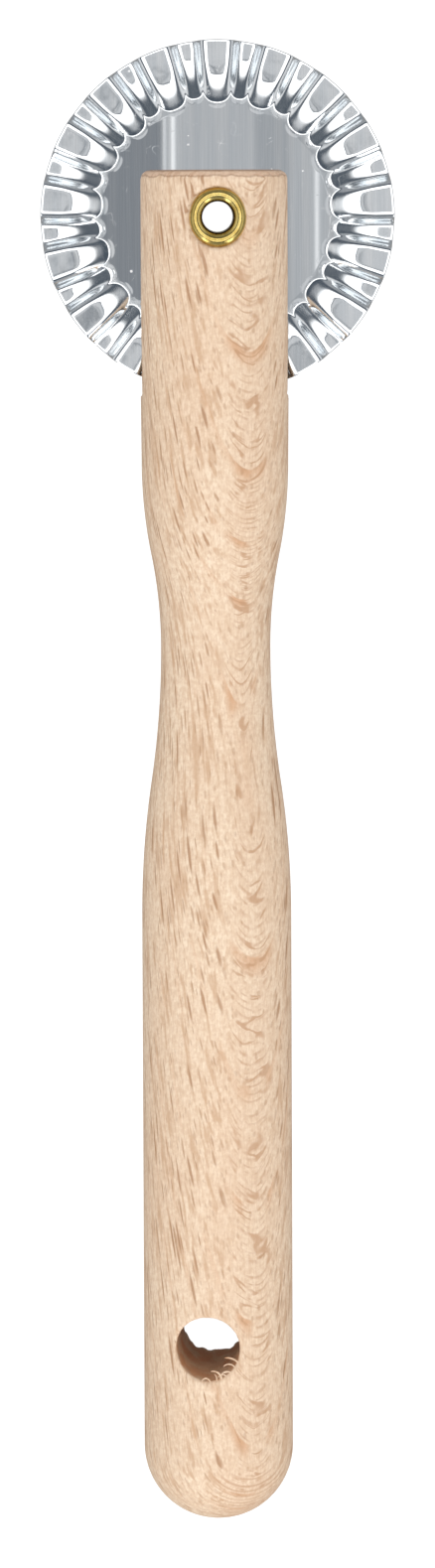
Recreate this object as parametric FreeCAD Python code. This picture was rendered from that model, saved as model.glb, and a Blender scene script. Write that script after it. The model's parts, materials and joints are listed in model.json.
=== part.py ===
"""Pastry cutter wheel: a turned beech handle, a fluted aluminium wheel and a tubular brass rivet.

Millimetres. The object lies flat: the handle runs along Y with the wheel at +Y, and the wheel turns
about a vertical axis. The origin is the centre of the bottom of the whole object's box.
"""
import FreeCAD
import Part
import math
import os

from FreeCAD import Vector

# Wheel: one sheet of metal, flat in the middle and fluted towards the rim.
WHEEL_RADIUS = 20.0
SHEET_THICKNESS = 0.5
FLUTE_COUNT = 17
CREST_HEIGHT = 0.7            # of the sheet's middle above the flat centre
VALLEY_DEPTH = 1.0            # of the sheet's middle below the flat centre
CREST_START = 12.9            # radius where a crest rises out of the flat centre
VALLEY_START = 13.4           # radius where a valley sinks out of the flat centre
CREST_FULL = 16.9             # radius where the crests reach their full height
VALLEY_FULL = 18.6            # radius where the valleys reach their full depth
FOOT_BEND = 0.5               # bend radius where a flute leaves the flat centre
CREST_BEND = 10.3             # bend radius where a crest turns level again
VALLEY_BEND = 12.5            # bend radius where a valley turns level again
CREST_SIDE_BEND = 0.65        # bend radius between a crest and its flanks
VALLEY_SIDE_BEND = 1.0        # bend radius between a valley and its flanks
CREST_FLAT = 1.3              # half width of the level crest at the rim
VALLEY_FLAT = 0.4             # half width of the level valley at the rim
NOSE_CURL = 0.16              # how fast a flute's inner end curls outward beside its middle line
FLAT_RADIUS = 12.4            # the flat centre is a plane out to here
CREST_ANGLE = 90.0            # one crest points straight away from the handle
SPANS_OUT = 16                # spline spans of the fluted zone, from the flat centre to the rim
SPANS_ROUND = 187             # spline spans of half a turn

# Handle: a turned stick. Lengths run from the fork's end towards the tail.
HANDLE_LENGTH = 153.6
HEAD_RADIUS = 8.47            # at the fork's end
SHOULDER_RADIUS = 8.3         # the head has narrowed to this where the waist begins
NECK_RADIUS = 6.2
BELLY_RADIUS = 8.47
HEAD_STRAIGHT = 14.0          # the head starts to narrow here
HEAD_END = 33.0               # the waist begins here
NECK_AT = 54.0                # thinnest place
BELLY_START = 84.5            # the belly's straight stretch starts here
TAIL_CROWN = 10.5             # radius of the arc over the tip
TAIL_SHOULDER = 8.4           # radius of the arc between the belly and the tip
END_ROUNDING = 1.15           # round edge of the fork's end
HANDLE_OFFSET = -0.4          # the rivet sits this far beside the handle's axis

# Saw slot of the fork.
SLOT_WIDTH = 2.8
SLOT_DEPTH = 26.6
SAW_RADIUS = 30.0             # the blade leaves a round bottom

# Tubular rivet, which is the axle.
AXLE_FROM_END = 5.3           # from the fork's end to the rivet
TUBE_RADIUS = 2.2
TUBE_BORE = 1.75
FLANGE_RADIUS = 3.4
CROWN_HEIGHT = 8.55           # half the length of the rivet, over its two rolled ends
RIVET_HOLE = 2.25             # in the wood
SEAT_RADIUS = 3.45            # of the pocket that the rolled end is pressed into
BORE_RADIUS = 2.28            # of the wheel, a running fit on the tube

# Hanging hole through the tail.
HOLE_RADIUS = 3.6
HOLE_FROM_END = 132.7
HOLE_TILT = -3.2              # degrees about the handle's axis
HOLE_OFFSET = -0.79           # beside the handle's axis

# The frame, worked out from the sizes above.
OVERALL_LENGTH = HANDLE_LENGTH - AXLE_FROM_END + WHEEL_RADIUS
AXLE_Y = OVERALL_LENGTH / 2 - WHEEL_RADIUS
FORK_Y = AXLE_Y + AXLE_FROM_END
MIDDLE_Z = CROWN_HEIGHT

X = Vector(1, 0, 0)
Y = Vector(0, 1, 0)
Z = Vector(0, 0, 1)


# ---- cutting wheel ----

def ramp(distance, width, height, first_bend, second_bend):
    """Height at a distance along a rise of bent sheet: a bend, a straight slope and a second bend."""
    bends = first_bend + second_bend
    straight = math.sqrt(width ** 2 + height ** 2 - 2 * height * bends)
    slope = math.atan2(height - bends, width) + math.atan2(bends, straight)
    if distance <= 0:
        return 0.0
    if distance >= width:
        return height
    if distance < first_bend * math.sin(slope):
        return first_bend - math.sqrt(first_bend ** 2 - distance ** 2)
    left = width - distance
    if left < second_bend * math.sin(slope):
        return height - second_bend + math.sqrt(second_bend ** 2 - left ** 2)
    start = first_bend * (1 - math.cos(slope))
    return start + (distance - first_bend * math.sin(slope)) * math.tan(slope)


def crest_share(from_crest):
    """1 on the crests and 0 in the valleys; from_crest is the distance from a crest at the rim."""
    pitch = 2 * math.pi * WHEEL_RADIUS / FLUTE_COUNT
    width = pitch / 2 - CREST_FLAT - VALLEY_FLAT
    height = CREST_HEIGHT + VALLEY_DEPTH
    return 1 - ramp(from_crest - CREST_FLAT, width, height, CREST_SIDE_BEND, VALLEY_SIDE_BEND) / height


def flute_rise(outward, beside, run, height, bend):
    """How far a crest has risen, or a valley has sunk, at a distance beside its middle line."""
    return ramp(outward - NOSE_CURL * beside ** 3, run, height, FOOT_BEND, bend)


def sheet_height(radius, angle):
    """Height of the sheet's middle above the wheel's plane; angle in radians."""
    pitch_angle = 2 * math.pi / FLUTE_COUNT
    turn = (angle - math.radians(CREST_ANGLE)) / pitch_angle
    from_crest = abs(turn - round(turn)) * pitch_angle
    from_valley = pitch_angle / 2 - from_crest
    share = crest_share(from_crest * WHEEL_RADIUS)
    crest = flute_rise(radius - CREST_START, from_crest * radius, CREST_FULL - CREST_START,
                       CREST_HEIGHT, CREST_BEND)
    valley = flute_rise(radius - VALLEY_START, from_valley * radius, VALLEY_FULL - VALLEY_START,
                        VALLEY_DEPTH, VALLEY_BEND)
    return crest * share - valley * (1 - share)


def sheet_point(radius, angle, side):
    """A point half the sheet's thickness above (side 1) or below (side -1) its middle."""
    step = 1e-4
    radial = Vector(math.cos(angle), math.sin(angle), 0)
    around = Vector(-math.sin(angle), math.cos(angle), 0)
    height = sheet_height(radius, angle)
    rise_out = (sheet_height(radius + step, angle) - height) / step
    rise_round = (sheet_height(radius, angle + step / radius) - height) / step
    normal = Z - radial * rise_out - around * rise_round
    normal.normalize()
    return radial * radius + Z * height + normal * (side * SHEET_THICKNESS / 2)


def cubic_net(spans):
    """Knots, their multiplicities and the poles' places, 0 to 1, of a clamped cubic with equal spans."""
    knots = [i / spans for i in range(spans + 1)]
    multiplicities = [4] + [1] * (spans - 1) + [4]
    padded = [0.0] * 3 + knots + [1.0] * 3
    places = [sum(padded[i + 1:i + 4]) / 3 for i in range(spans + 3)]
    return knots, multiplicities, places


def fluted_half(start_angle, side):
    """One half turn of the fluted zone's upper or lower face, from a net of poles on the sheet."""
    out_knots, out_multiplicities, out_places = cubic_net(SPANS_OUT)
    round_knots, round_multiplicities, round_places = cubic_net(SPANS_ROUND)
    poles = []
    for out in out_places:
        radius = FLAT_RADIUS + (WHEEL_RADIUS - FLAT_RADIUS) * out
        poles.append([sheet_point(radius, start_angle + math.pi * turn, side) for turn in round_places])
    surface = Part.BSplineSurface()
    surface.buildFromPolesMultsKnots(poles, out_multiplicities, round_multiplicities,
                                     out_knots, round_knots, False, False, 3, 3)
    return surface.toShape()


def edge_at_radius(face, radius):
    """The face's long edge that runs round at this radius."""
    def miss(edge):
        point = edge.valueAt((edge.FirstParameter + edge.LastParameter) / 2)
        return abs(math.hypot(point.x, point.y) - radius) + (0 if edge.Length > 2 * radius else 100)
    return min(face.Edges, key=miss)


def make_cutting_wheel():
    starts = [math.radians(CREST_ANGLE), math.radians(CREST_ANGLE) + math.pi]
    upper = [fluted_half(start, 1) for start in starts]
    lower = [fluted_half(start, -1) for start in starts]
    faces = upper + lower
    for top, bottom in zip(upper, lower):
        rim = Part.makeRuledSurface(edge_at_radius(top, WHEEL_RADIUS), edge_at_radius(bottom, WHEEL_RADIUS))
        faces.append(rim)
    for halves in (upper, lower):
        ring = Part.Wire([edge_at_radius(half, FLAT_RADIUS) for half in halves])
        faces.append(Part.Face(ring))
    shell = Part.Shell(faces)
    shell.sewShape()
    disc = Part.Solid(Part.Shell(shell.Faces))
    if disc.Volume < 0:
        disc.reverse()
    bore = Part.makeCylinder(BORE_RADIUS, 4 * SHEET_THICKNESS, Vector(0, 0, -2 * SHEET_THICKNESS))
    wheel = disc.cut(bore)
    wheel.translate(Vector(0, AXLE_Y, MIDDLE_Z))
    return wheel


# ---- handle ----

def profile_point(from_end, radius):
    return Vector(HANDLE_OFFSET + radius, FORK_Y - from_end, MIDDLE_Z)


def arc_about(centre_from_end, centre_radius, arc_radius, start, end):
    """An arc of the turned outline; angles in degrees, 0 outwards and 90 towards the tail."""
    points = []
    for angle in (start, (start + end) / 2, end):
        away = math.sin(math.radians(angle)) * arc_radius
        out = math.cos(math.radians(angle)) * arc_radius
        points.append(profile_point(centre_from_end + away, centre_radius + out))
    return Part.Arc(*points).toShape()


def fair(from_end, radius, to_end, to_radius):
    """Two equal arcs that leave one straight stretch and join the next without a corner."""
    length = to_end - from_end
    rise = to_radius - radius
    arc_radius = (length ** 2 + rise ** 2) / (4 * abs(rise))
    half_turn = math.degrees(math.asin(length / 2 / arc_radius))
    if rise < 0:
        first = arc_about(from_end, radius - arc_radius, arc_radius, 0, half_turn)
        second = arc_about(to_end, to_radius + arc_radius, arc_radius, 180 + half_turn, 180)
    else:
        first = arc_about(from_end, radius + arc_radius, arc_radius, 180, 180 - half_turn)
        second = arc_about(to_end, to_radius - arc_radius, arc_radius, -half_turn, 0)
    return [first, second]


def tail_arcs():
    """The belly's end turns over a shoulder arc into the arc across the tip."""
    crown_centre = HANDLE_LENGTH - TAIL_CROWN
    shoulder_centre_radius = BELLY_RADIUS - TAIL_SHOULDER
    between = TAIL_CROWN - TAIL_SHOULDER
    shoulder_centre = crown_centre + math.sqrt(between ** 2 - shoulder_centre_radius ** 2)
    meet = math.degrees(math.atan2(shoulder_centre - crown_centre, shoulder_centre_radius))
    shoulder = arc_about(shoulder_centre, shoulder_centre_radius, TAIL_SHOULDER, 0, meet)
    crown = arc_about(crown_centre, 0, TAIL_CROWN, meet, 90)
    return shoulder_centre, [shoulder, crown]


def turned_blank():
    tail_start, tail = tail_arcs()
    end_face = Part.makeLine(profile_point(0, 0), profile_point(0, HEAD_RADIUS - END_ROUNDING))
    end_edge = arc_about(END_ROUNDING, HEAD_RADIUS - END_ROUNDING, END_ROUNDING, -90, 0)
    head_corner = profile_point(HEAD_STRAIGHT, HEAD_RADIUS)
    head = Part.makeLine(profile_point(END_ROUNDING, HEAD_RADIUS), head_corner)
    narrowing = Part.makeLine(head_corner, profile_point(HEAD_END, SHOULDER_RADIUS))
    belly = Part.makeLine(profile_point(BELLY_START, BELLY_RADIUS), profile_point(tail_start, BELLY_RADIUS))
    axis_line = Part.makeLine(profile_point(HANDLE_LENGTH, 0), profile_point(0, 0))
    to_neck = fair(HEAD_END, SHOULDER_RADIUS, NECK_AT, NECK_RADIUS)
    to_belly = fair(NECK_AT, NECK_RADIUS, BELLY_START, BELLY_RADIUS)
    outline = [end_face, end_edge, head, narrowing] + to_neck + to_belly + [belly] + tail + [axis_line]
    face = Part.Face(Part.Wire(outline))
    return face.revolve(Vector(HANDLE_OFFSET, 0, MIDDLE_Z), Y, 360)


def saw_slot():
    """The blade enters at the fork's end; its round edge is the slot's bottom."""
    bottom_z = MIDDLE_Z - SLOT_WIDTH / 2
    blade_y = FORK_Y - SLOT_DEPTH + SAW_RADIUS
    blade = Part.makeCylinder(SAW_RADIUS, SLOT_WIDTH, Vector(HANDLE_OFFSET, blade_y, bottom_z))
    return blade


def rivet_holes():
    hole = Part.makeCylinder(RIVET_HOLE, 2 * CROWN_HEIGHT, Vector(0, AXLE_Y, 0))
    seat_depth = rolled_end_height()
    lower = Part.makeCylinder(SEAT_RADIUS, seat_depth, Vector(0, AXLE_Y, 0))
    upper = Part.makeCylinder(SEAT_RADIUS, seat_depth, Vector(0, AXLE_Y, 2 * CROWN_HEIGHT - seat_depth))
    return [hole, lower, upper]


def hanging_hole():
    length = 4 * BELLY_RADIUS
    hole = Part.makeCylinder(HOLE_RADIUS, length, Vector(0, 0, -length / 2))
    hole.rotate(Vector(0, 0, 0), Y, HOLE_TILT)
    hole.translate(Vector(HANDLE_OFFSET + HOLE_OFFSET, FORK_Y - HOLE_FROM_END, MIDDLE_Z))
    return hole


def make_handle():
    handle = turned_blank().cut(saw_slot())
    for hole in rivet_holes():
        handle = handle.cut(hole)
    return handle.cut(hanging_hole())


# ---- axle rivet ----

def rolled_end_height():
    """Each rolled end is half a ring; this is its outer radius in section."""
    return (FLANGE_RADIUS - TUBE_BORE) / 2


def rolled_end(z, up):
    """Half ring of bent tube wall, standing on its seat at height z; up is 1 or -1."""
    outer = rolled_end_height()
    inner = outer - (TUBE_RADIUS - TUBE_BORE)
    centre = TUBE_BORE + outer
    def at(radius, angle):
        out = centre + radius * math.cos(math.radians(angle))
        return Vector(out, 0, z + up * radius * math.sin(math.radians(angle)))
    over = Part.Arc(at(outer, 180), at(outer, 90), at(outer, 0)).toShape()
    rim = Part.makeLine(at(outer, 0), at(inner, 0))
    under = Part.Arc(at(inner, 0), at(inner, 90), at(inner, 180)).toShape()
    foot = Part.makeLine(at(inner, 180), at(outer, 180))
    section = Part.Face(Part.Wire([over, rim, under, foot]))
    return section.revolve(Vector(0, 0, 0), Z, 360)


def make_axle_rivet():
    low = rolled_end_height()
    high = 2 * CROWN_HEIGHT - low
    tube = Part.makeCylinder(TUBE_RADIUS, high - low, Vector(0, 0, low))
    tube = tube.cut(Part.makeCylinder(TUBE_BORE, high - low, Vector(0, 0, low)))
    rivet = tube.fuse([rolled_end(high, 1), rolled_end(low, -1)]).removeSplitter()
    rivet.translate(Vector(0, AXLE_Y, 0))
    return rivet


PARTS = {
    "handle": make_handle,
    "cutting_wheel": make_cutting_wheel,
    "axle_rivet": make_axle_rivet,
}

os.makedirs("parts", exist_ok=True)
for name, make in PARTS.items():
    shape = make()
    solid = shape.Solids[0]
    solid.exportStep("parts/" + name + ".step")
    box = solid.optimalBoundingBox(False, False)
    print(name, "solids", len(shape.Solids), "valid", solid.isValid(), "volume", round(solid.Volume, 1))
    print("   x", round(box.XMin, 3), round(box.XMax, 3), "y", round(box.YMin, 3), round(box.YMax, 3),
          "z", round(box.ZMin, 3), round(box.ZMax, 3))
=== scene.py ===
import json
import math

import bpy
import numpy as np
from mathutils import Matrix, Vector


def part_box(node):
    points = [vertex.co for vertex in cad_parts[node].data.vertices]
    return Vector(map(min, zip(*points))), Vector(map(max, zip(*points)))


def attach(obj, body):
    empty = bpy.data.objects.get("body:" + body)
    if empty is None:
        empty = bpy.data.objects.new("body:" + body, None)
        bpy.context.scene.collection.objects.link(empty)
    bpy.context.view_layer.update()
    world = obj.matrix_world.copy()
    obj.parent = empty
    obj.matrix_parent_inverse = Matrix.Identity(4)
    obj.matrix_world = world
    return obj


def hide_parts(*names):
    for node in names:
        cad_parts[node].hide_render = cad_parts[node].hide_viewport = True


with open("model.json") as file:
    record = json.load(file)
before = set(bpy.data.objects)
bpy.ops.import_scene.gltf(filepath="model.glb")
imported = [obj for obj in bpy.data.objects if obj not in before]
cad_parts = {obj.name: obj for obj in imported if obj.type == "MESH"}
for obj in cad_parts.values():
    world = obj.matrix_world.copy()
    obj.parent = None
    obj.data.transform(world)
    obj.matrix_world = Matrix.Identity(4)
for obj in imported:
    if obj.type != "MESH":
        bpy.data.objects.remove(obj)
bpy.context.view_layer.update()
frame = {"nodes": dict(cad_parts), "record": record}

MM = 0.001
rng = np.random.default_rng(17)


def box_mm(node):
    low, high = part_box(node)
    return np.array(low) / MM, np.array(high) / MM


WHEEL_LOW, WHEEL_HIGH = box_mm("cutting_wheel")
HANDLE_LOW, HANDLE_HIGH = box_mm("handle")
RIVET_LOW, RIVET_HIGH = box_mm("axle_rivet")

AXLE = (RIVET_LOW + RIVET_HIGH) / 2
FORK_Y = HANDLE_HIGH[1]
TAIL_Y = HANDLE_LOW[1]
HANDLE_X = (HANDLE_LOW[0] + HANDLE_HIGH[0]) / 2
HOLE_MOUNT = next(m for m in frame["record"]["mounts"] if m["name"] == "hanging_hole")
HOLE_CENTRE = np.array(HOLE_MOUNT["pos_m"]) / MM
HOLE_AXIS = np.array(HOLE_MOUNT["axis"])


# ---- meshes ----

def mesh_piece(name, points, faces, body, replaced=None):
    """A smooth mesh from points in millimetres; it rides on body and may stand for a CAD node."""
    mesh = bpy.data.meshes.new(name)
    mesh.from_pydata((np.asarray(points) * MM).tolist(), [], faces)
    mesh.validate()
    mesh.shade_smooth()
    piece = bpy.data.objects.new(name, mesh)
    bpy.context.scene.collection.objects.link(piece)
    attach(piece, body)
    if replaced:
        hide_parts(replaced)
    return piece


def ring_faces(rows, columns):
    """Quads of a grid that closes on itself both ways."""
    faces = []
    for i in range(rows):
        for j in range(columns):
            below, after = (i + 1) % rows, (j + 1) % columns
            faces.append((i * columns + j, below * columns + j,
                          below * columns + after, i * columns + after))
    return faces


def round_angles(columns):
    return np.arange(columns) * 2 * math.pi / columns


def ring_piece(name, rows, body, replaced):
    """A closed piece round the axle, from rows of points that each make a full turn."""
    points = np.concatenate(rows) + AXLE
    return mesh_piece(name, points, ring_faces(len(rows), len(rows[0])), body, replaced)


# ---- cutting wheel ----
# The flutes start and end where the CAD sheet's do. The photograph's reflections ask for steeper
# flanks, softer shoulders and a tighter bend at the foot, and no two pressed flutes are the same.

WHEEL_RADIUS = 20.0
SHEET = 0.5                   # thickness of the metal
BORE_RADIUS = 2.28
CUT_EDGE = 0.1                # radius of the rounded edge of the rim and the bore
FLUTES = 17
PITCH_ANGLE = 2 * math.pi / FLUTES
HALF_PITCH = math.pi * WHEEL_RADIUS / FLUTES
CREST_HEIGHT = WHEEL_HIGH[2] - AXLE[2] - SHEET / 2
VALLEY_DEPTH = AXLE[2] - WHEEL_LOW[2] - SHEET / 2
CREST_START, CREST_FULL = 12.9, 16.9      # radii between which a crest rises
VALLEY_START, VALLEY_FULL = 13.4, 18.6    # radii between which a valley sinks
FOOT_BEND = 0.18              # bend radius where a flute leaves the flat middle
CREST_BEND = 10.3             # bend radius where a crest turns level again
VALLEY_BEND = 12.5            # bend radius where a valley turns level again
# slope of the sheet in degrees, by the distance at the rim from a crest's middle to a valley's
FLANK = ((0.0, 0), (1.05, 0), (1.5, 12), (1.9, 68), (2.3, 68), (2.65, 12), (3.3, 0), (HALF_PITCH, 0))
FLANK_SAMPLES = 400
NOSE_POWER = 2.5              # between an ellipse, 2, and a rounded box, 4
NOSE_SIDE = 0.985             # share of the half width where the nose's curve stops
CREST_NOSE = (1.65, 2.8)      # half width and length of the curve that rounds a crest's inner end
VALLEY_NOSE = (1.15, 1.9)
CREST_MARK = 0.006            # depth of the crescent that the press leaves before each flute
VALLEY_MARK = 0.014
MARK_LENGTH = 0.6
MARK_SIDE = 0.7               # the crescent fades this far beside the flute's middle line
COLUMNS_PER_FLUTE = 52

FLUTE_SHRINK = rng.uniform(0.02, 0.15, FLUTES)        # share of a flute's height that it lacks
FLUTE_SHIFT = rng.uniform(-0.026, 0.026, FLUTES)      # radians round the wheel
NOSE_SHIFT = rng.uniform(-0.32, 0.22, FLUTES)         # towards the middle


def ramp(distance, width, height, first_bend, second_bend):
    """Height along a rise of bent sheet: a bend, a straight slope and a second bend."""
    bends = first_bend + second_bend
    straight = math.sqrt(width ** 2 + height ** 2 - 2 * height * bends)
    slope = math.atan2(height - bends, width) + math.atan2(bends, straight)
    foot = first_bend * math.sin(slope)
    d = np.clip(distance, 0, width)
    left = width - d
    bend_up = first_bend - np.sqrt(np.maximum(first_bend ** 2 - d ** 2, 0))
    bend_level = height - second_bend + np.sqrt(np.maximum(second_bend ** 2 - left ** 2, 0))
    line = first_bend * (1 - math.cos(slope)) + (d - foot) * math.tan(slope)
    level_from = second_bend * math.sin(slope)
    return np.where(d < foot, bend_up, np.where(left < level_from, bend_level, line))


def flank_share(from_crest):
    """1 on a crest, 0 in a valley and the flank's slopes between them."""
    places, slopes = np.array(FLANK).T
    fine = np.linspace(0.0, HALF_PITCH, FLANK_SAMPLES)
    steepness = np.tan(np.radians(np.interp(fine, places, slopes)))
    fallen = np.concatenate([[0.0], np.cumsum((steepness[1:] + steepness[:-1]) / 2)])
    return 1 - np.interp(from_crest, fine, fallen / fallen[-1])


def ripple(angle, sizes):
    """A smooth wobble round the wheel: one value per flute, blended between them."""
    place = (angle / PITCH_ANGLE) % FLUTES
    first = np.floor(place).astype(int) % FLUTES
    share = place - np.floor(place)
    share = share * share * (3 - 2 * share)
    return sizes[first] * (1 - share) + sizes[(first + 1) % FLUTES] * share


def flute_rise(radius, beside, start, full, height, bend, nose, mark_depth):
    """How far a crest has risen, or a valley has sunk, at an angle beside its middle line."""
    half_width, length = nose
    sideways = beside * radius
    from_middle = np.minimum(sideways / half_width, NOSE_SIDE)
    outward = radius - start - length * (1 - (1 - from_middle ** NOSE_POWER) ** (1 / NOSE_POWER))
    before = np.clip(-outward / MARK_LENGTH, 0, 1)
    mark = mark_depth * (1 - np.cos(2 * math.pi * before)) / 2 * np.exp(-(sideways / MARK_SIDE) ** 2)
    return ramp(outward, full - start, height, FOOT_BEND, bend) - mark


def sheet_height(radius, angle):
    """Height of the sheet's middle above the wheel's plane."""
    angle = angle + ripple(angle, FLUTE_SHIFT)
    radius = radius + ripple(angle, NOSE_SHIFT)
    turn = (angle - math.pi / 2) / PITCH_ANGLE
    from_crest = np.abs(turn - np.round(turn)) * PITCH_ANGLE
    from_valley = PITCH_ANGLE / 2 - from_crest
    share = flank_share(from_crest * WHEEL_RADIUS)
    crest = flute_rise(radius, from_crest, CREST_START, CREST_FULL, CREST_HEIGHT, CREST_BEND,
                       CREST_NOSE, CREST_MARK)
    valley = flute_rise(radius, from_valley, VALLEY_START, VALLEY_FULL, VALLEY_DEPTH, VALLEY_BEND,
                        VALLEY_NOSE, VALLEY_MARK)
    return (crest * share - valley * (1 - share)) * (1 - ripple(angle, FLUTE_SHRINK))


def skin_height(x, y, side):
    """Height of the sheet's upper skin, side 1, or lower skin, side -1, above the wheel's plane.

    The skin is where balls of half the sheet's thickness reach when their centres lie all over the
    sheet's middle. That keeps the thickness true on the flanks and can't fold at a tight bend.
    """
    half = SHEET / 2

    def middle(at_x, at_y):
        return side * sheet_height(np.hypot(at_x, at_y), np.arctan2(at_y, at_x))

    def reach(shift_x, shift_y):
        rest = np.maximum(half ** 2 - shift_x ** 2 - shift_y ** 2, 0)
        return middle(x + shift_x, y + shift_y) + np.sqrt(rest)

    # first a coarse search for the ball that reaches highest
    shift_x, shift_y = np.zeros_like(x), np.zeros_like(x)
    height = reach(shift_x, shift_y)
    for share in (0.35, 0.65, 0.90):
        for angle in np.arange(0, 2 * math.pi, math.pi / 6):
            try_x = np.full_like(x, share * half * math.cos(angle))
            try_y = np.full_like(x, share * half * math.sin(angle))
            tried = reach(try_x, try_y)
            higher = tried > height
            height = np.where(higher, tried, height)
            shift_x = np.where(higher, try_x, shift_x)
            shift_y = np.where(higher, try_y, shift_y)

    # then a finer one: that ball touches the skin where the sheet's own slope says
    rounds, pace, step = 12, 0.5, 1e-3
    for _ in range(rounds):
        at_x, at_y = x + shift_x, y + shift_y
        slope_x = (middle(at_x + step, at_y) - middle(at_x - step, at_y)) / (2 * step)
        slope_y = (middle(at_x, at_y + step) - middle(at_x, at_y - step)) / (2 * step)
        steepness = np.sqrt(1 + slope_x ** 2 + slope_y ** 2)
        shift_x += pace * (half * slope_x / steepness - shift_x)
        shift_y += pace * (half * slope_y / steepness - shift_y)
        height = np.maximum(height, reach(shift_x, shift_y))
    return side * height


def skin_rows(nose_step, flute_rows):
    """Radii of a skin's rows of points, close together over the flutes' inner ends."""
    nose_from, nose_to = 12.0, 14.0
    flat = [BORE_RADIUS + CUT_EDGE, 3.4, 6.0, 9.0, 11.0, 11.8]
    noses = np.arange(nose_from, nose_to, nose_step)
    return [*flat, *noses, *np.linspace(nose_to, WHEEL_RADIUS - CUT_EDGE, flute_rows)]


def wheel_section():
    """(radius, share of the thickness) pairs once round the sheet: over the top, round the rim, back."""
    top, bottom = skin_rows(0.08, 28), skin_rows(0.14, 22)
    edge_share = CUT_EDGE / SHEET
    rim = []
    for angle in (60, 30, 0):
        c, s = math.cos(math.radians(angle)), math.sin(math.radians(angle))
        rim.append((WHEEL_RADIUS - CUT_EDGE + CUT_EDGE * c, 1 - edge_share * (1 - s)))
    rim += [(radius, 1 - share) for radius, share in reversed(rim)]
    bore = [(BORE_RADIUS, edge_share), (BORE_RADIUS, 1 - edge_share)]
    return [(radius, 1) for radius in top] + rim + [(radius, 0) for radius in reversed(bottom)] + bore


def make_wheel():
    angles = round_angles(FLUTES * COLUMNS_PER_FLUTE)
    rows = []
    for radius, share in wheel_section():
        x, y = radius * np.cos(angles), radius * np.sin(angles)
        upper = skin_height(x, y, 1) if share > 0 else 0
        lower = skin_height(x, y, -1) if share < 1 else 0
        rows.append(np.stack([x, y, upper * share + lower * (1 - share)], 1))
    return ring_piece("fluted_wheel", rows, "wheel", "cutting_wheel")


# ---- axle rivet: tube and two rolled ends ----

TUBE_BORE = 1.75
TUBE_RADIUS = 2.2
FLANGE_RADIUS = 3.4
ROLL_RADIUS = (FLANGE_RADIUS - TUBE_BORE) / 2     # of a rolled end, in section
FLANGE_TRIM = 0.02            # the rolled end stays this far inside the CAD solid
FLANGE_SQUASH = 0.09          # it is narrower along X
FLANGE_WAVE = 0.012           # and not quite round
RIVET_COLUMNS = 128


def rivet_section():
    """(radius, height above the middle) pairs once round the metal of the rivet."""
    wall = TUBE_RADIUS - TUBE_BORE
    centre = TUBE_BORE + ROLL_RADIUS
    seat = (RIVET_HIGH[2] - RIVET_LOW[2]) / 2 - ROLL_RADIUS

    def arc(radius, start, end, steps):
        angles = np.radians(np.linspace(start, end, steps))
        return [(centre + radius * math.cos(a), seat + radius * math.sin(a)) for a in angles]

    lip = wall / 2
    upper = arc(ROLL_RADIUS, 180, 0, 25)
    end_bend = [(centre + ROLL_RADIUS - lip + lip * math.cos(math.radians(a)),
                 seat + lip * math.sin(math.radians(a))) for a in (-45, -90, -135)]
    inside = arc(ROLL_RADIUS - wall, 0, 180, 13)
    top = upper + end_bend + inside
    heights = np.linspace(-seat, seat, 12)[1:-1]
    bore_side = [(TUBE_BORE, z) for z in heights]
    tube_side = [(TUBE_RADIUS, z) for z in -heights]
    bottom = [(r, -z) for r, z in reversed(top)]
    return top + tube_side + bottom + bore_side


def make_rivet():
    angles = round_angles(RIVET_COLUMNS)
    squash = FLANGE_SQUASH * (1 + np.cos(2 * angles)) + FLANGE_WAVE * np.sin(5 * angles)
    rows = []
    for radius, height in rivet_section():
        share = max(radius - TUBE_RADIUS, 0) / (FLANGE_RADIUS - TUBE_RADIUS)
        r = radius - share * (FLANGE_TRIM + squash)
        rows.append(np.stack([r * np.cos(angles), r * np.sin(angles), np.full_like(angles, height)], 1))
    return ring_piece("rolled_rivet", rows, "handle", "axle_rivet")


# ---- handle: the CAD solid with its edges eased, as sanding leaves them ----

HEAD_RADIUS = 8.47            # at the fork's end
SHOULDER_RADIUS = 8.3         # the head has narrowed to this where the waist begins
NECK_RADIUS = 6.2
BELLY_RADIUS = (HANDLE_HIGH[0] - HANDLE_LOW[0]) / 2
HEAD_STRAIGHT = 14.0          # from the fork's end to where the head starts to narrow
HEAD_END = 33.0               # to the waist
NECK_AT = 54.0                # to the thinnest place
BELLY_START = 84.5            # to the belly's straight stretch
TAIL_CROWN = 10.5             # radius of the arc over the tip
TAIL_SHOULDER = 8.4           # radius of the arc between the belly and the tip
END_ROUNDING = 1.15
SLOT_WIDTH = 2.8
SLOT_DEPTH = 26.6
SLOT_EDGE = 0.10              # radius of the eased edge, as for the seats and the hole below
SAW_RADIUS = 30.0
RIVET_HOLE = 2.25
SEAT_RADIUS = 3.45
SEAT_EDGE = 0.12
HOLE_RADIUS = 3.6
HOLE_EDGE = 0.3
TORN_DEPTH = 0.10             # of the ragged lower edge, where the drill came out
TORN_FROM, TORN_RUN = 6.2, 1.6            # it starts this far below the hole's middle and grows so long
TORN_WAVES = ((5, 1.0, 0.0), (11, 0.8, 1.3), (17, 0.7, 0.4))    # waves round the hole, size, shift
QUICK_VOXEL, FULL_VOXEL = 0.6, 0.35       # of the remesh


def fair_radius(distance, length, start, end):
    """Radius along two equal arcs that turn one straight stretch into the next."""
    rise = abs(end - start)
    arc = (length ** 2 + rise ** 2) / (4 * rise)
    d = np.clip(distance, 0, length)
    near = arc - np.sqrt(arc ** 2 - np.minimum(d, length / 2) ** 2)
    far = rise - arc + np.sqrt(arc ** 2 - np.minimum(length - d, length / 2) ** 2)
    return start + math.copysign(1, end - start) * np.where(d < length / 2, near, far)


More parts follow.
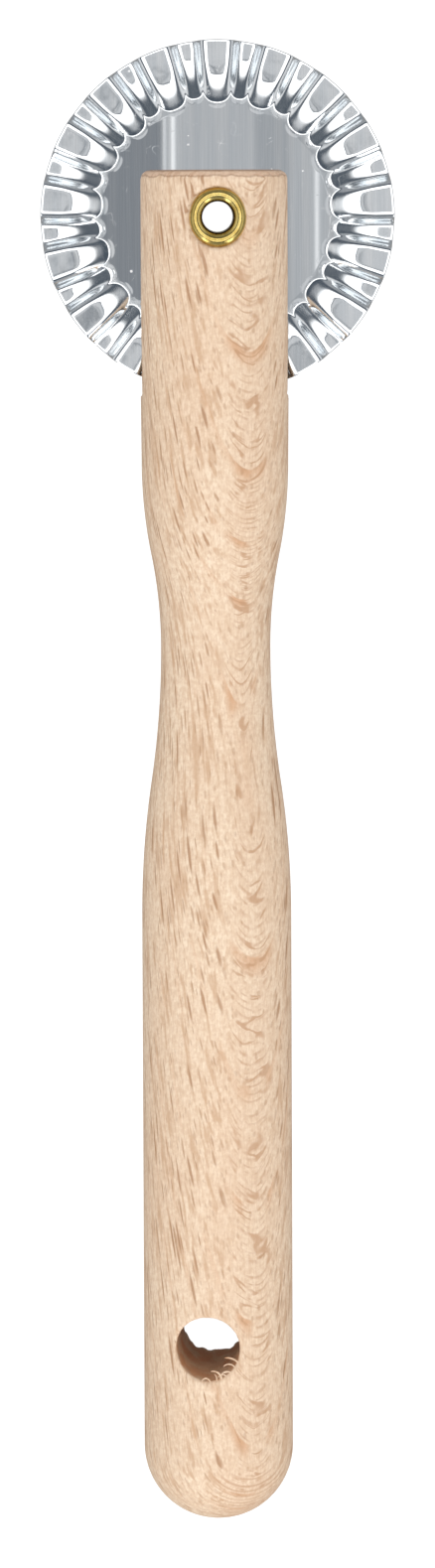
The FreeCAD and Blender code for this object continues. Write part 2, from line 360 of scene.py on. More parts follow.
def turned_radius(from_end):
    """Radius of the stick at a distance from the fork's end, without the round tail."""
    left_to_narrow = np.clip((HEAD_END - from_end) / (HEAD_END - HEAD_STRAIGHT), 0, 1)
    head = left_to_narrow * (HEAD_RADIUS - SHOULDER_RADIUS)
    to_neck = fair_radius(from_end - HEAD_END, NECK_AT - HEAD_END, SHOULDER_RADIUS, NECK_RADIUS) + head
    to_belly = fair_radius(from_end - NECK_AT, BELLY_START - NECK_AT, NECK_RADIUS, BELLY_RADIUS)
    return np.where(from_end < NECK_AT, to_neck, to_belly)


def turned_distance(from_axis, from_end):
    """Signed distance from the turned outline, negative in the wood."""
    step = 0.05
    radius = turned_radius(from_end)
    slope = (turned_radius(from_end + step) - radius) / step
    side = (from_axis - radius) / np.sqrt(1 + slope ** 2)
    length = FORK_Y - TAIL_Y
    crown = length - TAIL_CROWN
    inset = BELLY_RADIUS - TAIL_SHOULDER
    shoulder = crown + math.sqrt((TAIL_CROWN - TAIL_SHOULDER) ** 2 - inset ** 2)
    on_shoulder = np.hypot(from_axis - inset, from_end - shoulder) - TAIL_SHOULDER
    on_crown = np.hypot(from_axis, from_end - crown) - TAIL_CROWN
    past = (from_end - shoulder) * inset > (from_axis - inset) * (shoulder - crown)
    tail = np.where(past, on_crown, on_shoulder)
    return np.where(from_end > shoulder, tail, side)


def cut_edge(a, b, radius):
    """Both distances must be negative to be inside; the edge between them is rounded."""
    outside = np.hypot(np.maximum(radius + a, 0), np.maximum(radius + b, 0))
    return outside + np.minimum(-radius, np.maximum(a, b))


def hole_distance(points):
    """Signed distance from the hanging hole's wall, negative outside the hole."""
    along = HOLE_AXIS / np.linalg.norm(HOLE_AXIS)
    offset = points - HOLE_CENTRE
    height = offset @ along
    outward = offset - height[:, None] * along
    around = np.arctan2(outward[:, 1], outward[:, 0])
    ragged = sum(size * np.sin(waves * around + shift) for waves, size, shift in TORN_WAVES)
    torn = TORN_DEPTH * ragged * np.clip((-height - TORN_FROM) / TORN_RUN, 0, 1)
    return HOLE_RADIUS + torn - np.linalg.norm(outward, axis=1)


def handle_distance(points):
    """Signed distance from the handle's surface, negative in the wood."""
    x = points[:, 0] - HANDLE_X
    y = points[:, 1]
    z = points[:, 2] - AXLE[2]
    from_end = FORK_Y - y
    wood = cut_edge(turned_distance(np.hypot(x, z), from_end), -from_end, END_ROUNDING)

    blade_y = FORK_Y - SLOT_DEPTH + SAW_RADIUS
    blade = np.maximum(np.abs(z) - SLOT_WIDTH / 2, np.hypot(x, y - blade_y) - SAW_RADIUS)
    wood = cut_edge(wood, -blade, SLOT_EDGE)

    from_axle = np.hypot(points[:, 0] - AXLE[0], y - AXLE[1])
    seat = np.maximum(from_axle - SEAT_RADIUS, AXLE[2] - ROLL_RADIUS - np.abs(z))
    wood = cut_edge(wood, -seat, SEAT_EDGE)
    wood = np.maximum(wood, RIVET_HOLE - from_axle)
    return cut_edge(wood, hole_distance(points), HOLE_EDGE)


def settle_on_surface(points, distance, rounds):
    """Moves each point straight onto the surface where distance is zero."""
    step, least_slope, longest_move = 0.02, 0.5, 0.3
    for _ in range(rounds):
        value = distance(points)
        slope = np.empty_like(points)
        for axis in range(3):
            shift = np.zeros(3)
            shift[axis] = step
            slope[:, axis] = (distance(points + shift) - distance(points - shift)) / (2 * step)
        steepness = np.maximum((slope ** 2).sum(1), least_slope ** 2)
        move = -slope * (value / steepness)[:, None]
        points = points + np.clip(move, -longest_move, longest_move)
    return points


def remeshed(source, voxel):
    """Points and faces of a CAD node's mesh, rebuilt from even quads."""
    copy = bpy.data.objects.new("remesh", source.data.copy())
    bpy.context.scene.collection.objects.link(copy)
    modifier = copy.modifiers.new("remesh", "REMESH")
    modifier.mode = "VOXEL"
    modifier.voxel_size = voxel * MM
    evaluated = copy.evaluated_get(bpy.context.evaluated_depsgraph_get())
    result = bpy.data.meshes.new_from_object(evaluated)
    points = np.empty(len(result.vertices) * 3)
    result.vertices.foreach_get("co", points)
    faces = [tuple(face.vertices) for face in result.polygons]
    bpy.data.objects.remove(copy)
    return points.reshape(-1, 3) / MM, faces


def make_handle():
    voxel = FULL_VOXEL
    points, faces = remeshed(frame["nodes"]["handle"], voxel)
    points = settle_on_surface(points, handle_distance, rounds=6)
    return mesh_piece("turned_handle", points, faces, "handle", "handle")


# ---- torn fibres at one side of the hanging hole's upper edge ----

FIBRES = 7
FIBRE_SECTOR = (-86, -24)     # degrees round the hole from +X
FIBRE_ROOT = 0.18             # a fibre starts this far outside the hole and below the surface
FIBRE_HEADING = (-0.9, 0.3)   # radians off the line to the hole's middle
FIBRE_CURL = (1.0, 3.4)       # radians from end to end
FIBRE_LENGTH = (0.9, 2.3)
FIBRE_THICKNESS = (0.16, 0.26)
FIBRE_LIFT = (0.02, 0.10)
FIBRE_TIP = 0.1               # share of the thickness that the thin end keeps


def sliver(start, heading, curl, length, thickness, lift):
    """Points and faces of one tapered fibre that leaves start and curls as it goes."""
    steps, sides = 16, 6
    place, turn = np.array(start), heading
    points = []
    for i in range(steps + 1):
        share = i / steps
        rise = math.sin(math.pi * share) * lift
        fullness = math.sqrt(math.sin(math.pi * (0.25 + share * 0.74)))
        radius = thickness / 2 * (FIBRE_TIP + (1 - FIBRE_TIP) * fullness)
        beside = np.array([-math.sin(turn), math.cos(turn), 0.0])
        for j in range(sides):
            a = 2 * math.pi * j / sides
            above = np.array([0, 0, rise + radius * math.sin(a)])
            points.append(place + above + beside * radius * math.cos(a))
        turn += curl / steps
        place = place + np.array([math.cos(turn), math.sin(turn), 0.0]) * length / steps
    faces = []
    for row in range(0, steps * sides, sides):
        for j in range(sides):
            after = (j + 1) % sides
            faces.append((row + j, row + after, row + sides + after, row + sides + j))
    faces.append(tuple(reversed(range(sides))))
    faces.append(tuple(range(steps * sides, (steps + 1) * sides)))
    return np.array(points), faces


def make_torn_fibres():
    hole_top = HOLE_CENTRE + HOLE_AXIS * BELLY_RADIUS
    reach = HOLE_RADIUS + FIBRE_ROOT
    points, faces = [], []
    for angle in np.radians(np.linspace(*FIBRE_SECTOR, FIBRES)):
        x = hole_top[0] + reach * math.cos(angle)
        y = hole_top[1] + reach * math.sin(angle)
        z = AXLE[2] + math.sqrt(BELLY_RADIUS ** 2 - (x - HANDLE_X) ** 2) - FIBRE_ROOT
        heading = angle + math.pi + rng.uniform(*FIBRE_HEADING)
        curl = rng.uniform(*FIBRE_CURL)
        length = rng.uniform(*FIBRE_LENGTH)
        thickness = rng.uniform(*FIBRE_THICKNESS)
        lift = rng.uniform(*FIBRE_LIFT)
        new_points, new_faces = sliver((x, y, z), heading, curl, length, thickness, lift)
        start = sum(len(group) for group in points)
        points.append(new_points)
        faces += [tuple(start + index for index in face) for face in new_faces]
    return mesh_piece("torn_fibres", np.concatenate(points), faces, "handle")


# ---- materials ----

class Nodes:
    """Short names for making and joining shader nodes."""

    def __init__(self, tree):
        self.tree = tree

    def add(self, kind):
        return self.tree.nodes.new(kind)

    def link(self, value, socket):
        if isinstance(value, bpy.types.NodeSocket):
            self.tree.links.new(value, socket)
        else:
            socket.default_value = value

    def vector(self, operation, first, second=None, scale=None):
        node = self.add("ShaderNodeVectorMath")
        node.operation = operation
        self.link(first, node.inputs[0])
        if second is not None:
            self.link(second, node.inputs[1])
        if scale is not None:
            self.link(scale, node.inputs["Scale"])
        return node.outputs["Value" if operation in ("DOT_PRODUCT", "LENGTH") else "Vector"]

    def math(self, operation, first, second=None, third=None):
        node = self.add("ShaderNodeMath")
        node.operation = operation
        for index, value in enumerate((first, second, third)):
            if value is not None:
                self.link(value, node.inputs[index])
        return node.outputs[0]

    def times(self, first, *others):
        for other in others:
            first = self.math("MULTIPLY", first, other)
        return first

    def apart(self, first, second):
        return self.math("ABSOLUTE", self.math("SUBTRACT", first, second))

    def swayed(self, value, noise, amount):
        """value moved up and down by a noise whose middle is 0.5."""
        return self.math("MULTIPLY_ADD", self.math("SUBTRACT", noise, 0.5), amount, value)

    def combine(self, x, y, z):
        node = self.add("ShaderNodeCombineXYZ")
        for socket, value in zip(node.inputs, (x, y, z)):
            self.link(value, socket)
        return node.outputs[0]

    def separate(self, value):
        node = self.add("ShaderNodeSeparateXYZ")
        self.link(value, node.inputs[0])
        return node.outputs

    def noise(self, place, detail=2.0, roughness=0.5, scale=1.0):
        node = self.add("ShaderNodeTexNoise")
        self.link(place, node.inputs["Vector"])
        node.inputs["Scale"].default_value = scale
        node.inputs["Detail"].default_value = detail
        node.inputs["Roughness"].default_value = roughness
        return node.outputs[0]

    def voronoi(self, place):
        node = self.add("ShaderNodeTexVoronoi")
        self.link(place, node.inputs["Vector"])
        node.inputs["Scale"].default_value = 1.0
        return node

    def between(self, value, low, high, to_low=0.0, to_high=1.0):
        """A smooth step from to_low, where value is low, to to_high, where value is high."""
        node = self.add("ShaderNodeMapRange")
        node.interpolation_type = "SMOOTHSTEP"
        for socket, given in zip(node.inputs, (value, low, high, to_low, to_high)):
            self.link(given, socket)
        return node.outputs[0]

    def band(self, value, start, full, fading, end):
        """1 between full and fading, and 0 before start and after end."""
        return self.times(self.between(value, start, full), self.between(value, end, fading))

    def mix(self, share, first, second):
        """A colour from first, where share is 0, to second, where it is 1."""
        node = self.add("ShaderNodeMix")
        node.data_type = "RGBA"
        self.link(share, node.inputs["Factor"])
        colours = [s for s in node.inputs if s.type == "RGBA"]
        self.link(first, colours[0])
        self.link(second, colours[1])
        return [s for s in node.outputs if s.type == "RGBA"][0]

    def blend(self, share, first, second):
        """A number from first, where share is 0, to second, where it is 1."""
        node = self.add("ShaderNodeMix")
        node.data_type = "FLOAT"
        for socket, value in zip((s for s in node.inputs if s.type == "VALUE"), (share, first, second)):
            self.link(value, socket)
        return [s for s in node.outputs if s.type == "VALUE"][0]

    def bump(self, height, distance, strength):
        node = self.add("ShaderNodeBump")
        node.inputs["Distance"].default_value = distance * MM
        node.inputs["Strength"].default_value = strength
        self.link(height, node.inputs["Height"])
        return node.outputs[0]


class Surface(Nodes):
    """A material's nodes, with the place on the object in millimetres."""

    def __init__(self, name):
        self.material = bpy.data.materials.new(name)
        self.material.use_nodes = True
        super().__init__(self.material.node_tree)
        self.shader = self.tree.nodes["Principled BSDF"]
        where = self.add("ShaderNodeTexCoord").outputs["Object"]
        self.place = self.vector("SCALE", where, scale=1 / MM)

    def stretched(self, x, y, z):
        return self.vector("MULTIPLY", self.place, (x, y, z))

    def set(self, name, value):
        self.link(value, self.shader.inputs[name])


def colour(red, green, blue):
    """A shader colour from the eye's 0 to 255 values."""
    def linear(value):
        value = value / 255
        return value / 12.92 if value <= 0.04045 else ((value + 0.055) / 1.055) ** 2.4
    return (linear(red), linear(green), linear(blue), 1.0)


# ---- beech ----

RING_LEAN = math.radians(8.0)     # of the growth rings to the handle's axis
RING_SIDE = math.radians(28)      # the rings face this far from straight up, towards +X
RING_WIDTH = 1.91
RING_RADIUS = 40.0                # of the rings themselves, round the tree's middle
LAYER_WIDTH = 0.15                # of the thin layers in a ring
DOME_LAYER_WIDTH = 0.42           # of the arcs on the tail's round end

PALE_WOOD = colour(250, 229, 203)
WARM_WOOD = colour(244, 219, 192)
MOTTLE = colour(222, 188, 154)
STREAK = colour(204, 164, 128)
LATE_WOOD = colour(208, 148, 98)
ARC = colour(190, 142, 104)
FLECK = colour(168, 122, 86)
FIBRE = colour(204, 164, 130)
FORK_STRIP = colour(220, 178, 152)
FORK_LINE = colour(140, 96, 70)
# painted shadow on the fork's last edge, next to the wheel
FORK_END_SHADOW = colour(120, 84, 62)
# the hanging hole's wall: partly the drilled end grain's tone, partly painted shade of the hole
PALE_HOLE_WALL = colour(234, 207, 176)
WARM_HOLE_WALL = colour(226, 176, 134)
HOLE_WALL_FIBRE = colour(196, 150, 112)


class Wood(Surface):
    """Wood with each place also given through the growth rings, along the fibre and round a ring."""

    def __init__(self, name):
        super().__init__(name)
        side, lean = RING_SIDE, RING_LEAN
        through = (math.sin(side) * math.cos(lean), math.sin(lean), math.cos(side) * math.cos(lean))
        along = (-math.sin(side) * math.sin(lean), math.cos(lean), -math.cos(side) * math.sin(lean))
        around = (math.cos(side), 0.0, -math.sin(side))
        self.place = self.vector("SUBTRACT", self.place, (HANDLE_X, 0.0, AXLE[2]))
        self.y = self.separate(self.place)[1]
        self.fibre = self.vector("DOT_PRODUCT", self.place, along)
        self.ring = self.vector("DOT_PRODUCT", self.place, around)

        sway = self.noise(self.stretched(0.10, 0.03, 0.10))
        self.waver = self.noise(self.stretched(0.6, 0.20, 0.6))
        flat_depth = self.swayed(self.vector("DOT_PRODUCT", self.place, through), sway, 0.8)
        self.smooth_depth = self.math("MULTIPLY_ADD", self.times(self.ring, self.ring),
                                      0.5 / RING_RADIUS, flat_depth)
        self.depth = self.swayed(self.smooth_depth, self.waver, 0.12)

        # facing is 1 where the rings lie level with the surface and 0 where they stand square to it
        off_axis = self.stretched(1.0, 0.0, 1.0)
        self.from_axis = self.vector("LENGTH", off_axis)
        ring_up = (math.sin(side), 0.0, math.cos(side))
        self.facing = self.math("ABSOLUTE", self.vector("DOT_PRODUCT",
                                                        self.vector("NORMALIZE", off_axis), ring_up))
        self.level = self.between(self.facing, 0.925, 0.985)
        self.steep = self.between(self.facing, 0.975, 0.88)
        self.dome = self.between(self.y, TAIL_Y + 8.0, TAIL_Y + 5.5)

    def grain(self, depth_scale, fibre_scale, ring_scale):
        return self.combine(self.times(self.depth, depth_scale), self.times(self.fibre, fibre_scale),
                            self.times(self.ring, ring_scale))


def late_wood(n):
    """A warm band at the end of each year, a spot where it just reaches the surface."""
    year = n.math("FRACT", n.math("DIVIDE", n.depth, RING_WIDTH))
    patches = n.between(n.noise(n.grain(0.25, 0.10, 0.25), detail=1.0), 0.42, 0.58)
    return n.times(n.band(year, 0.80, 0.97, 0.98, 1.0), patches, n.math("MULTIPLY_ADD", n.level, 0.65, 0.35))


def ring_arcs(n):
    """Thin layers, seen as nested arcs where they lie level and on the tail's round end."""
    def contours(place, width):
        return n.between(n.apart(n.noise(place, detail=1.0), 0.5), width, width * 0.3)

    def layers(width, uneven_share, start, full, fading):
        depth = n.math("DIVIDE", n.smooth_depth, width)
        layer = n.math("FRACT", n.math("MULTIPLY_ADD", unevenness, uneven_share, depth))
        return n.band(layer, start, full, fading, 1.0)

    unevenness = n.noise(n.combine(n.times(n.smooth_depth, 2.2), 0.0, 0.0), detail=1.0)
    wide = contours(n.grain(1.6, 0.03, 0.08), 0.022)
    narrow = contours(n.grain(3.4, 0.05, 0.12), 0.028)
    gaps = n.between(n.noise(n.stretched(0.5, 0.35, 0.5), detail=1.0), 0.42, 0.58)
    arcs = n.times(n.level, gaps, n.math("MAXIMUM", wide, narrow))

    strength = n.between(n.noise(n.stretched(0.9, 0.30, 0.9), detail=1.0), 0.38, 0.62)
    strength = n.times(strength, n.between(n.facing, 0.962, 0.985))
    thin = n.times(strength, layers(LAYER_WIDTH, 3.0, 0.55, 0.80, 0.88), 0.65)
    on_dome = n.times(n.dome, n.between(n.facing, 0.72, 0.90), 0.85)
    dome_arcs = n.times(on_dome, layers(DOME_LAYER_WIDTH, 1.0, 0.60, 0.82, 0.90))
    return n.math("MAXIMUM", n.math("MAXIMUM", arcs, thin), dome_arcs)


def fleck_dashes(n):
    """Thin spindles that lie in the rings, seen as dashes where the rings stand steep."""
    def flecks(depth_cell, fibre_cell, ring_cell, rare, size):
        cells = n.voronoi(n.grain(1 / depth_cell, 1 / fibre_cell, 1 / ring_cell))
        chance = n.separate(cells.outputs["Color"])[0]
        reach = n.between(chance, rare, 1.0, 0.01, size)
        return n.between(n.math("DIVIDE", cells.outputs["Distance"], reach), 1.0, 0.5)

    long_flecks = flecks(0.36, 7.5, 1.5, 0.10, 0.42)
    short_flecks = flecks(0.28, 4.2, 1.1, 0.10, 0.40)
    small_flecks = flecks(0.26, 1.5, 0.7, 0.20, 0.42)
    dashes = n.math("MAXIMUM", long_flecks, n.times(short_flecks, 0.75))
    dashes = n.math("MAXIMUM", n.times(dashes, n.steep), n.times(small_flecks, 0.42))
    return n.times(dashes, n.math("MULTIPLY_ADD", n.dome, -0.6, 1.0))


def fork_end(n, shade):
    """The fork's eased end: a pinkish strip, a fine dark line under it and a painted shadow on the last edge,
    next to the wheel, deeper towards the rim.
    """
    from_fork = n.math("SUBTRACT", FORK_Y, n.swayed(n.y, n.waver, 1.1))
    shade = n.mix(n.times(n.between(from_fork, 0.75, 0.60), 0.30), shade, FORK_STRIP)
    shade = n.mix(n.times(n.band(from_fork, 0.55, 0.66, 0.74, 0.86), 0.42), shade, FORK_LINE)
    # painted shadow along the fork's last edge, deeper towards the rim
    shadowed_edge = n.between(n.y, FORK_Y - 0.30, FORK_Y - 0.05)
    near_rim = n.between(n.from_axis, HEAD_RADIUS - 2.4, HEAD_RADIUS - 1.2, 0.26, 0.60)
    return n.mix(n.times(shadowed_edge, near_rim), shade, FORK_END_SHADOW)


def hole_wall(n):
    """1 on the wall of the hanging hole, which is darker and warmer: partly the drilled end grain's own tone,
    partly painted shade of the hole.
    """
    centre = tuple(HOLE_CENTRE - np.array([HANDLE_X, 0.0, AXLE[2]]))
    off_axis = n.vector("CROSS_PRODUCT", n.vector("SUBTRACT", n.place, centre), tuple(HOLE_AXIS))
    near = n.between(n.vector("LENGTH", off_axis), HOLE_RADIUS + 0.25, HOLE_RADIUS + 0.10)
    return n.times(near, n.between(n.from_axis, BELLY_RADIUS - 0.22, BELLY_RADIUS - 0.40))


def beech():
    n = Wood("beech")
    fibres = n.noise(n.stretched(5.0, 0.9, 5.0), detail=3.0, roughness=0.65)
    streaks = n.noise(n.grain(2.5, 0.15, 0.9), roughness=0.6)
    mottle = n.noise(n.place, roughness=0.6, scale=1.9)
    broad = n.noise(n.stretched(0.16, 0.035, 0.16))
    streak = n.times(n.between(streaks, 0.50, 0.65), n.math("MULTIPLY_ADD", n.steep, 0.50, 0.10))
    dashes = fleck_dashes(n)

    shade = n.mix(n.between(broad, 0.3, 0.7), PALE_WOOD, WARM_WOOD)
    for share, darker in ((n.between(mottle, 0.35, 0.65, 0.0, 0.45), MOTTLE),
                          (streak, STREAK),
                          (n.times(late_wood(n), 0.62), LATE_WOOD),
                          (n.times(ring_arcs(n), 0.68), ARC),
                          (n.times(dashes, 0.80), FLECK),
                          (n.between(fibres, 0.34, 0.66, 0.0, 0.36), FIBRE)):
        shade = n.mix(share, shade, darker)
    shade = fork_end(n, shade)

    # a darker, warmer wall in the hanging hole: partly the drilled end grain's tone, partly painted shade of
    # the hole
    bored = hole_wall(n)
    hole_patches = n.between(n.noise(n.stretched(0.5, 0.5, 0.3), detail=1.0), 0.40, 0.62)
    hole_tone_and_shade = n.mix(hole_patches, PALE_HOLE_WALL, WARM_HOLE_WALL)
    hole_tone_and_shade = n.mix(n.between(fibres, 0.42, 0.64, 0.0, 0.5), hole_tone_and_shade, HOLE_WALL_FIBRE)
    n.set("Base Color", n.mix(bored, shade, hole_tone_and_shade))
    n.set("Roughness", n.between(fibres, 0.3, 0.7, 0.48, 0.66))
    n.set("Specular IOR Level", 0.35)
    relief = n.math("MULTIPLY_ADD", mottle, 0.5, n.times(dashes, -0.8))
    relief = n.math("MULTIPLY_ADD", streak, -0.5, relief)
    relief = n.math("MULTIPLY_ADD", n.times(bored, fibres), 6.0, relief)
    n.set("Normal", n.bump(relief, distance=0.05, strength=0.7))
    return n.material


# ---- metals ----

def handling_marks(n):
    """Hair scratches that run any way, and dust and small dents that scatter light where they lie."""
    bend = n.noise(n.place, detail=1.0, scale=0.35)
    other_bend = n.noise(n.vector("ADD", n.place, (31.0, 7.0, 0.0)), detail=1.0, scale=0.28)
    hair = n.between(n.apart(bend, 0.5), 0.0035, 0.0012)
    other_hair = n.between(n.apart(other_bend, 0.47), 0.003, 0.001)
    broken = n.between(n.noise(n.place, detail=1.0, scale=0.55), 0.56, 0.62)
    scratches = n.times(n.math("MAXIMUM", hair, other_hair), broken, 0.22)
    cells = n.voronoi(n.stretched(0.62, 0.62, 0.1))
    size = n.between(n.separate(cells.outputs["Color"])[0], 0.55, 1.0, 0.0, 0.14)
    specks = n.between(n.math("SUBTRACT", size, cells.outputs["Distance"]), 0.0, 0.05)
    return n.math("MAXIMUM", scratches, n.times(specks, 0.75))


def aluminium():
    n = Surface("polished_aluminium")
    lines = n.noise(n.stretched(11.0, 0.10, 2.0), detail=5.0, roughness=0.75)
    # faint vertical bands of lighter and darker base colour: painted reflection stripes of the rolled sheet's
    # slight waviness
    painted_reflection_bands = n.noise(n.stretched(0.9, 0.015, 0.1), detail=3.0)
    shade = n.mix(n.between(painted_reflection_bands, 0.35, 0.65), colour(236, 240, 243), colour(247, 249, 250))
    shade = n.mix(n.between(lines, 0.38, 0.62, 0.0, 0.30), shade, colour(205, 210, 214))
    marks = handling_marks(n)
    n.set("Base Color", n.mix(marks, shade, colour(250, 250, 250)))
    n.set("Metallic", n.math("SUBTRACT", 1.0, marks))

    # the pressing left the flutes rougher and faintly dented, their flanks most of all
    outward = n.vector("LENGTH", n.vector("SUBTRACT", n.place, tuple(AXLE)))
    rise = n.math("SUBTRACT", n.separate(n.place)[2], AXLE[2])
    flank = n.band(rise, -0.72, -0.55, 0.68, 0.88)
    pressed = n.times(n.between(outward, 13.0, 13.8), n.math("MULTIPLY_ADD", flank, 0.10, 0.04))
    n.set("Roughness", n.math("MULTIPLY_ADD", marks, 0.5, n.math("ADD", pressed, 0.012)))
    dents = n.times(n.noise(n.place, detail=1.5, scale=0.5), n.between(outward, 12.6, 14.0))
    n.set("Normal", n.bump(dents, distance=0.008, strength=1.0))
    return n.material


def brass():
    n = Surface("brass")
    tarnish = n.noise(n.place, detail=3.0, scale=0.9)
    n.set("Base Color", n.mix(n.between(tarnish, 0.35, 0.7), colour(224, 200, 124), colour(205, 175, 96)))
    n.set("Metallic", 1.0)
    fine = n.noise(n.stretched(6.0, 6.0, 1.0), detail=3.0)
    n.set("Roughness", n.between(fine, 0.3, 0.7, 0.14, 0.24))
    n.set("Normal", n.bump(fine, distance=0.006, strength=0.4))
    return n.material


# ---- studio ----
# A place in the sky is a slope from straight up, across towards +X and along towards +Y, or a tilt
# in degrees from straight up. A strip light's place is its azimuth from +X and its tilt.

GAP_MIDDLE = 0.002                # across, of the gap between the two big soft boxes
GAP_REACH = 0.075                 # its half width
GAP_LENGTH = 0.12                 # its half length
SOFT_BOX = 1.8                    # radiance, as for all that follow
CEILING = 0.50                    # seen through the middle of the gap
STAND = 0.27
PANEL = 0.42
FAR_CEILING = 0.64
CARD = 0.24                       # round the gap
BEYOND = 0.10                     # past the boxes
SIDE_WALL, NEAR_WALL = 0.80, 0.36
LOW_WALL = 0.26
# across, half width and radiance of the bright edges beside the stand and the panel
BRIGHT_EDGES = ((-0.0065, 0.0004, 0.9), (-0.0049, 0.0005, 1.1), (0.0217, 0.0005, 1.0))

STRIP_TILT = 60.0
STRIP_AZIMUTHS = {"left_strip": -121.0, "right_strip": -59.0}
STRIP_DISTANCE, STRIP_WIDTH, STRIP_HEIGHT = 1.0, 0.22, 0.8        # metres
STRIP_RADIANCE = 2.5
FLOOR_REACH = 1.5                 # metres
FLOOR_GLOW = 0.12                 # on the object; the camera sees 1.0


def room(n):
    """Radiance that gloss sees: two soft boxes with a narrow gap, dark card round them, grey walls."""
    east, north, up = n.separate(n.add("ShaderNodeTexCoord").outputs["Generated"])
    height = n.math("MAXIMUM", up, 0.001)
    across = n.math("DIVIDE", east, height)
    along = n.math("DIVIDE", north, height)
    zenith = n.math("ARCCOSINE", up)
    tilt = n.times(zenith, 180 / math.pi)

    # the ceiling in the gap: a dark stand on one side, a panel and bright edges on the other
    this_side = n.between(along, 0.020, 0.014)
    stand = n.times(n.band(across, -0.0190, -0.0175, -0.0064, -0.0058), this_side)
    light = n.blend(stand, CEILING, STAND)
    for edge, width, radiance in BRIGHT_EDGES:
        line = n.between(n.apart(across, edge), width, width * 0.4)
        light = n.blend(n.times(line, this_side), light, radiance)
    light = n.blend(n.band(across, 0.0098, 0.0106, 0.0164, 0.0172), light, PANEL)
    off_middle = n.apart(across, GAP_MIDDLE)
    far = n.math("MAXIMUM", n.between(off_middle, 0.0225, 0.0270), n.between(along, 0.0170, 0.0210))
    light = n.blend(far, light, FAR_CEILING)

    # card round the gap, then the boxes, the room beyond them and its walls
    from_gap = n.math("DIVIDE", off_middle, GAP_REACH)
    from_end = n.math("DIVIDE", n.math("ABSOLUTE", along), GAP_LENGTH)
    outward = n.math("SMOOTH_MAX", from_gap, from_end, 0.3)
    light = n.blend(n.between(outward, 0.90, 0.97), light, CARD)
    light = n.blend(n.between(outward, 1.12, 1.22), light, SOFT_BOX)
    light = n.blend(n.between(tilt, 22.0, 28.0), light, BEYOND)
    sideways = n.math("DIVIDE", n.math("ABSOLUTE", east), n.math("SINE", zenith))
    light = n.blend(n.between(tilt, 40.0, 52.0), light, n.between(sideways, 0.5, 0.85, NEAR_WALL, SIDE_WALL))
    light = n.blend(n.between(tilt, 72.0, 84.0), light, LOW_WALL)

    # matt surfaces see one even dome instead
    dome = n.between(tilt, 30.0, 90.0, 1.0, 0.84)
    return n.blend(n.add("ShaderNodeLightPath").outputs["Is Diffuse Ray"], light, dome)


def sky():
    """The room lights the object and is reflected in it; the camera sees plain white."""
    world = bpy.data.worlds.new("studio")
    bpy.context.scene.world = world
    world.use_nodes = True
    n = Nodes(world.node_tree)
    light = room(n)
    red = n.math("MULTIPLY_ADD", light, 1.02, -0.02)
    blue = n.math("MULTIPLY_ADD", light, 0.98, 0.025)
    background = world.node_tree.nodes["Background"]
    n.link(n.combine(red, light, blue), background.inputs["Color"])
    plain = n.add("ShaderNodeBackground")
    plain.inputs["Color"].default_value = (1.0, 1.0, 1.0, 1.0)
    choose = n.add("ShaderNodeMixShader")
    n.link(n.add("ShaderNodeLightPath").outputs["Is Camera Ray"], choose.inputs[0])
    n.link(background.outputs[0], choose.inputs[1])
    n.link(plain.outputs[0], choose.inputs[2])
    n.link(choose.outputs[0], world.node_tree.nodes["World Output"].inputs["Surface"])


def strip_light(name):
    """A long soft box that faces the axle."""
    azimuth, tilt = math.radians(STRIP_AZIMUTHS[name]), math.radians(STRIP_TILT)
    towards = Vector((math.cos(azimuth) * math.sin(tilt), math.sin(azimuth) * math.sin(tilt), math.cos(tilt)))
    light = bpy.data.lights.new(name, "AREA")
    light.shape = "RECTANGLE"
    light.size = STRIP_WIDTH
    light.size_y = STRIP_HEIGHT
    light.energy = STRIP_RADIANCE * math.pi * STRIP_WIDTH * STRIP_HEIGHT
    lamp = bpy.data.objects.new(name, light)
    lamp.location = Vector(AXLE * MM) + towards * STRIP_DISTANCE
    lamp.rotation_mode = "QUATERNION"
    lamp.rotation_quaternion = towards.to_track_quat("Z", "Y")
    lamp.visible_camera = False
    bpy.context.scene.collection.objects.link(lamp)


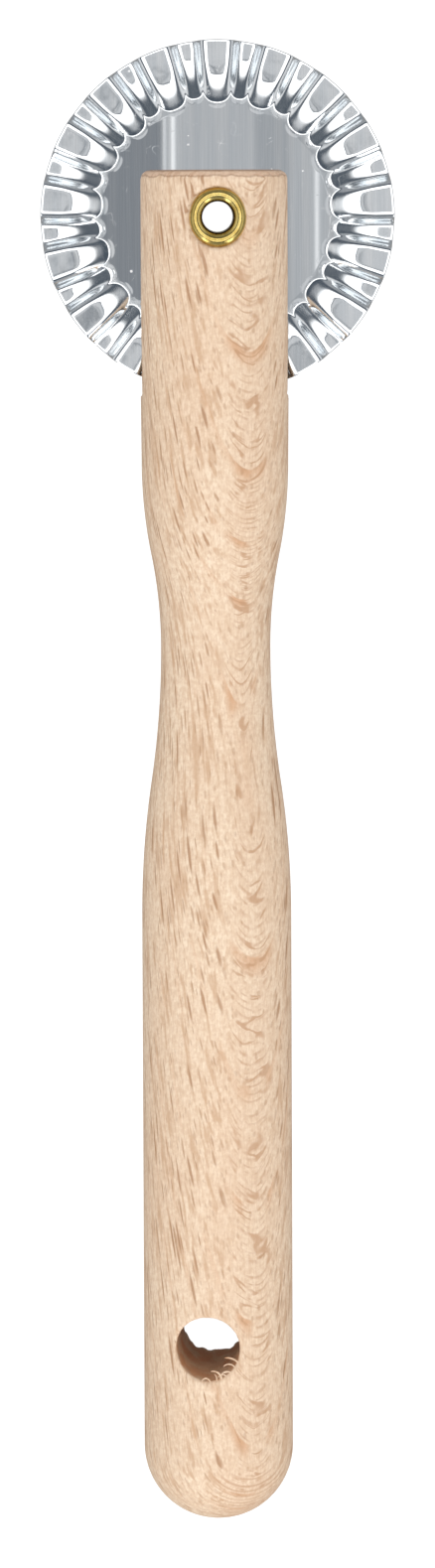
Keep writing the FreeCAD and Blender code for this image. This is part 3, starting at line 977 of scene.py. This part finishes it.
def light_table():
    """A pale floor that glows: bright to look at, but it lights the object only a little."""
    mesh = bpy.data.meshes.new("floor")
    corners = [(x * FLOOR_REACH, y * FLOOR_REACH, 0) for x, y in ((-1, -1), (1, -1), (1, 1), (-1, 1))]
    mesh.from_pydata(corners, [], [(0, 1, 2, 3)])
    floor = bpy.data.objects.new("floor", mesh)
    bpy.context.scene.collection.objects.link(floor)
    n = Surface("floor")
    n.set("Base Color", (0.2, 0.2, 0.2, 1.0))
    n.set("Roughness", 1.0)
    n.set("Specular IOR Level", 0.0)
    n.set("Emission Color", (1.0, 1.0, 1.0, 1.0))
    path = n.add("ShaderNodeLightPath")
    n.set("Emission Strength", n.blend(path.outputs["Is Camera Ray"], FLOOR_GLOW, 1.0))
    mesh.materials.append(n.material)


# ---- camera ----

FRAME_ROLL = math.radians(0.225)          # the object lies turned by this in the photograph
FRAME_MIDDLE = (-0.26, -0.82)             # on the object's middle plane
FRAME_HEIGHT = 178.80                     # that the photograph takes in there
STAND_PLACE = (-2.0, 67.0)                # the camera is above the wheel
STAND_HEIGHT = 610.0                      # over the middle plane
AIM_ABOVE_MIDDLE = 38.8                   # in the frame; the lens shift takes in the rest


def camera():
    """Looks down on the object from above its wheel, with a lens shift towards its tail."""
    page_up = np.array([math.sin(FRAME_ROLL), math.cos(FRAME_ROLL), 0.0])
    stand = np.array([*STAND_PLACE, AXLE[2] + STAND_HEIGHT])
    middle = np.array([*FRAME_MIDDLE, AXLE[2]])
    backward = Vector(stand - (middle + page_up * AIM_ABOVE_MIDDLE)).normalized()
    right = Vector(page_up).cross(backward).normalized()
    up = backward.cross(right)
    data = bpy.data.cameras.new("camera")
    data.sensor_fit = "AUTO"
    data.sensor_width = 36.0

    # the frame's top and bottom lines on the object's middle plane set the lens and the shift
    slopes = []
    for side in (1, -1):
        ray = Vector(middle + page_up * side * FRAME_HEIGHT / 2 - stand)
        slopes.append(ray.dot(up) / ray.dot(-backward))
    data.lens = data.sensor_width / (slopes[0] - slopes[1])
    data.shift_y = (slopes[0] + slopes[1]) / 2 / (slopes[0] - slopes[1])
    data.clip_start, data.clip_end = 0.05, 10.0
    holder = bpy.data.objects.new("camera", data)
    holder.location = Vector(stand * MM)
    holder.rotation_mode = "QUATERNION"
    holder.rotation_quaternion = Matrix((right, up, backward)).transposed().to_quaternion()
    bpy.context.scene.collection.objects.link(holder)
    bpy.context.scene.camera = holder


camera()
sky()
light_table()
for strip in STRIP_AZIMUTHS:
    strip_light(strip)

make_wheel().data.materials.append(aluminium())
make_rivet().data.materials.append(brass())
wood = beech()
make_handle().data.materials.append(wood)
make_torn_fibres().data.materials.append(wood)

settings = bpy.context.scene.view_settings
settings.view_transform = "Standard"
settings.look = "None"
